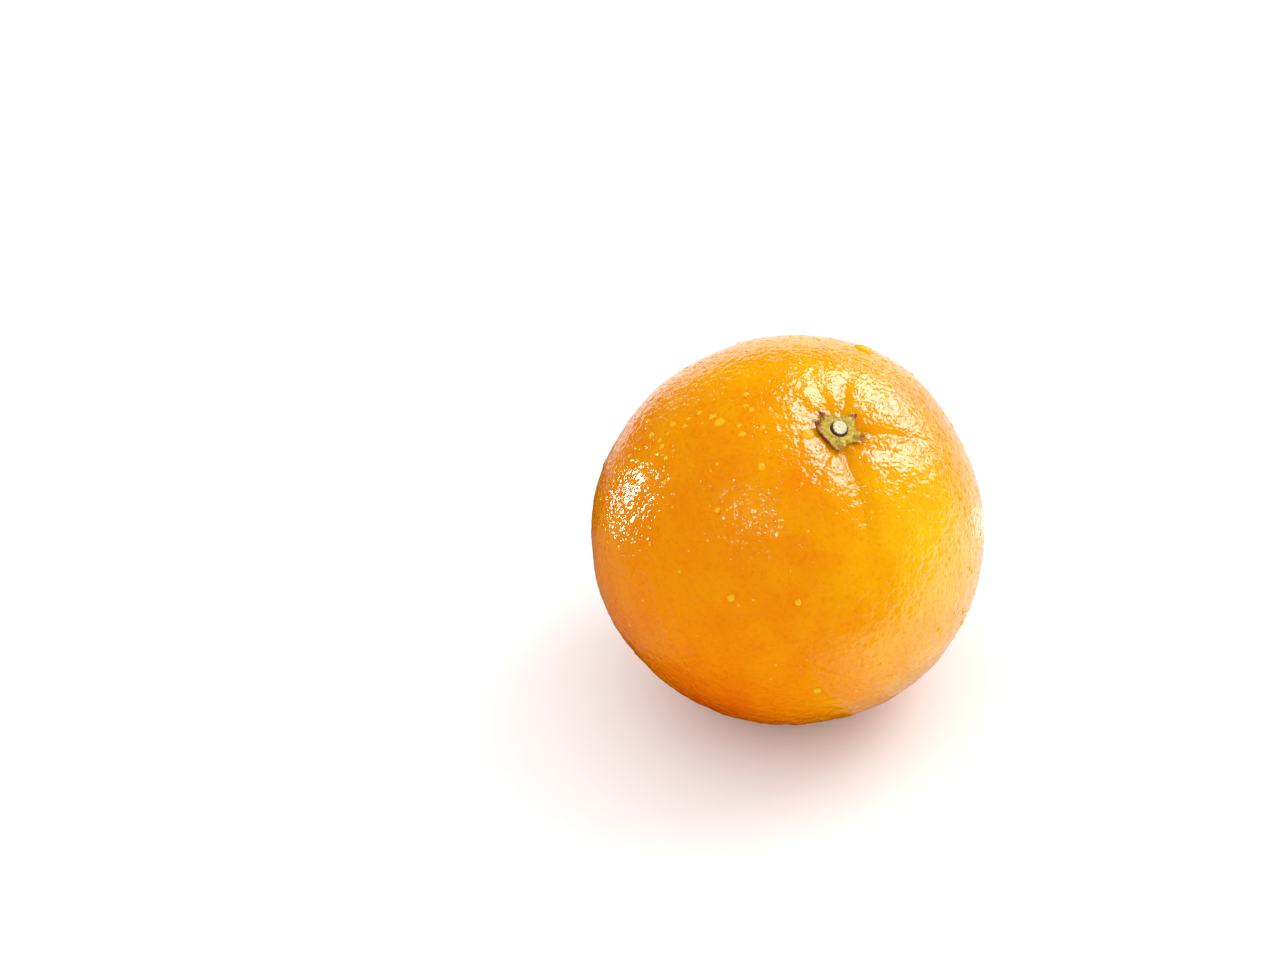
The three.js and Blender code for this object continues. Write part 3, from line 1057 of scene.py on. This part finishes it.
def makeWaterMesh(fruitPiece, material):
    outOfPlace = inPlace.inverted()
    wet = []
    for corner in fruitMesh.vertices:
        away = outOfPlace @ corner.co
        wet.append(sum(amount * math.exp(-(math.degrees(away.angle(toward(polar, azimuth))) / spread) ** 2)
                       for polar, azimuth, amount, spread in wetPlaces))
    pushAttribute(fruitMesh, "wetness", wet)
    scatterTree, sockets = makeScatterTree()
    inputs = {**scatterDrops, "Fruit": fruitPiece, "Water": material}
    small = runTree("waterDrops", scatterTree, sockets, inputs)
    points, faces = [], []
    for facts in largeDrops:
        addDrop(points, faces, *facts)
    large = bpy.data.meshes.new("largeDrops")
    large.from_pydata(points, [], faces)
    large.transform(inPlace)
    work = bmesh.new()
    work.from_mesh(large)
    bmesh.ops.recalc_face_normals(work, faces=work.faces)
    for face in work.faces:
        face.smooth = True
    work.from_mesh(small)
    work.to_mesh(small)
    work.free()
    small.materials.clear()
    small.materials.append(material)
    small.polygons.foreach_set("material_index", [0] * len(small.polygons))
    return small


waterMesh = makeWaterMesh(fruitPiece, makeWater())
finishPiece("water_drops", waterMesh, None)
print("water drops made:", len(waterMesh.polygons), "faces")


# Floor, world, light and camera

studio = {
    "floorWidth": 4000.0,
    "floorColour": (0.93, 0.93, 0.93),
    "worldBrightness": 1.2,
}

# azimuth and elevation seen from the fruit, distance, width, height, brightness, what it reaches
softBoxes = {
    "keyShine": (40, 43, 700, 440, 400, 10.0, "glossy"),
    "keySoft": (30, 50, 900, 500, 500, 3.0, "diffuse"),
    "leftShine": (171, 10, 108, 8, 42, 40.0, "glossy"),
    "backStrip": (92, 6, 600, 760, 130, 1.6, "glossy"),
    "overShine": (-116, 50, 440, 50, 44, 26.0, "glossy"),
    "keyFade": (40, 18, 700, 440, 160, 4.0, "glossy"),
}

# middle across and back from the fruit, width, depth, brightness, for cards that lie on the floor
floorCards = {
    "backSheen": (310, 365, 600, 640, 1.2, "glossy"),
    "leftSheen": (-70, 383, 160, 594, 0.6, "glossy"),
    "leftSheenFar": (-70, 395, 160, 570, 0.7, "glossy"),
    "leftFloor": (-106, -5, 128, 90, 0.16, "glossy"),
    "rightSheen": (312, -26, 596, 148, 0.31, "glossy"),
    "rightSheenSecond": (317, -18, 586, 132, 0.31, "glossy"),
    "rightSheenThird": (323, -11, 574, 118, 0.31, "glossy"),
    "rightSheenFourth": (330, -5, 560, 106, 0.31, "glossy"),
    "rightSheenFifth": (338, 0, 544, 96, 0.31, "glossy"),
    "frontFill": (20, -150, 520, 220, 0.25, "diffuse"),
}

cameraView = {"lens": 100.0, "elevation": 40.0, "distance": 723.2, "yaw": 2.4176, "pitch": 0.7876}


def makeFloor():
    half = studio["floorWidth"] * mm / 2
    mesh = bpy.data.meshes.new("floor")
    corners = [(-half, -half, 0), (half, -half, 0), (half, half, 0), (-half, half, 0)]
    mesh.from_pydata(corners, [], [(0, 1, 2, 3)])
    material, tree, shader = newMaterial("paleFloor")
    place = tree.nodes.new("ShaderNodeTexCoord").outputs["Object"]
    clouds = addNode(tree, "ShaderNodeTexNoise", {"Vector": place, "Scale": 3.0}).outputs["Fac"]
    red, green, blue = studio["floorColour"]
    colour = mixColour(tree, clouds, (red, green, blue, 1.0), (red * 0.995, green * 0.995, blue * 0.995, 1.0))
    tree.links.new(colour, shader.inputs["Base Color"])
    setShader(shader, {"Roughness": 0.9, "Specular IOR Level": 0.1})
    mesh.materials.append(material)
    floor = bpy.data.objects.new("floor", mesh)
    bpy.context.scene.collection.objects.link(floor)
    floor.visible_glossy = False


def lookMatrix(place, ahead, right):
    up = right.cross(ahead)
    turn = Matrix((right, up, -ahead)).transposed().to_4x4()
    return Matrix.Translation(place) @ turn


def addLight(name, place, ahead, right, width, height, brightness, reaches):
    light = bpy.data.lights.new(name, "AREA")
    light.shape = "RECTANGLE"
    light.size = width * mm
    light.size_y = height * mm
    light.energy = brightness * math.pi * light.size * light.size_y
    made = bpy.data.objects.new(name, light)
    bpy.context.scene.collection.objects.link(made)
    made.matrix_world = lookMatrix(place, ahead, right)
    made.visible_camera = False
    made.visible_diffuse = reaches != "glossy"
    made.visible_glossy = reaches != "diffuse"
    made.visible_transmission = reaches != "diffuse"


def addSoftBox(name, azimuth, elevation, distance, *facts):
    away = toward(90.0 - elevation, azimuth)
    right = away.cross(Vector((0.0, 0.0, 1.0))).normalized()
    addLight(name, fruitMiddle + away * distance * mm, -away, right, *facts)


def addFloorCard(name, rise, across, back, *facts):
    place = Vector((across * mm, back * mm, rise * mm))
    addLight(name, place, Vector((0.0, 0.0, 1.0)), Vector((1.0, 0.0, 0.0)), *facts)


def addCamera():
    tilt = math.radians(cameraView["elevation"])
    ahead = Vector((0.0, math.cos(tilt), -math.sin(tilt)))
    right = Vector((1.0, 0.0, 0.0))
    up = right.cross(ahead)
    place = fruitMiddle - ahead * cameraView["distance"] * mm
    yaw, pitch = math.radians(cameraView["yaw"]), math.radians(cameraView["pitch"])
    turned = ahead * math.cos(yaw) - right * math.sin(yaw)
    right = right * math.cos(yaw) + ahead * math.sin(yaw)
    ahead = turned * math.cos(pitch) + up * math.sin(pitch)
    camera = bpy.data.cameras.new("camera")
    camera.lens = cameraView["lens"]
    camera.sensor_width = 36.0
    camera.clip_start = 0.01
    camera.clip_end = 20.0
    made = bpy.data.objects.new("camera", camera)
    bpy.context.scene.collection.objects.link(made)
    made.matrix_world = lookMatrix(place, ahead, right)
    bpy.context.scene.camera = made


def makeWorld():
    world = bpy.data.worlds.new("paleStudio")
    world.use_nodes = True
    backdrop = world.node_tree.nodes["Background"]
    backdrop.inputs["Color"].default_value = (1.0, 1.0, 1.0, 1.0)
    backdrop.inputs["Strength"].default_value = studio["worldBrightness"]
    world.cycles_visibility.glossy = False
    bpy.context.scene.world = world


makeFloor()
makeWorld()
for lightName, facts in softBoxes.items():
    addSoftBox(lightName, *facts)
for rise, (lightName, facts) in enumerate(floorCards.items()):
    addFloorCard(lightName, 1 + rise, *facts)  # one above the other, so that none hides another
addCamera()
bpy.context.scene.view_settings.view_transform = "Standard"
print("studio set")
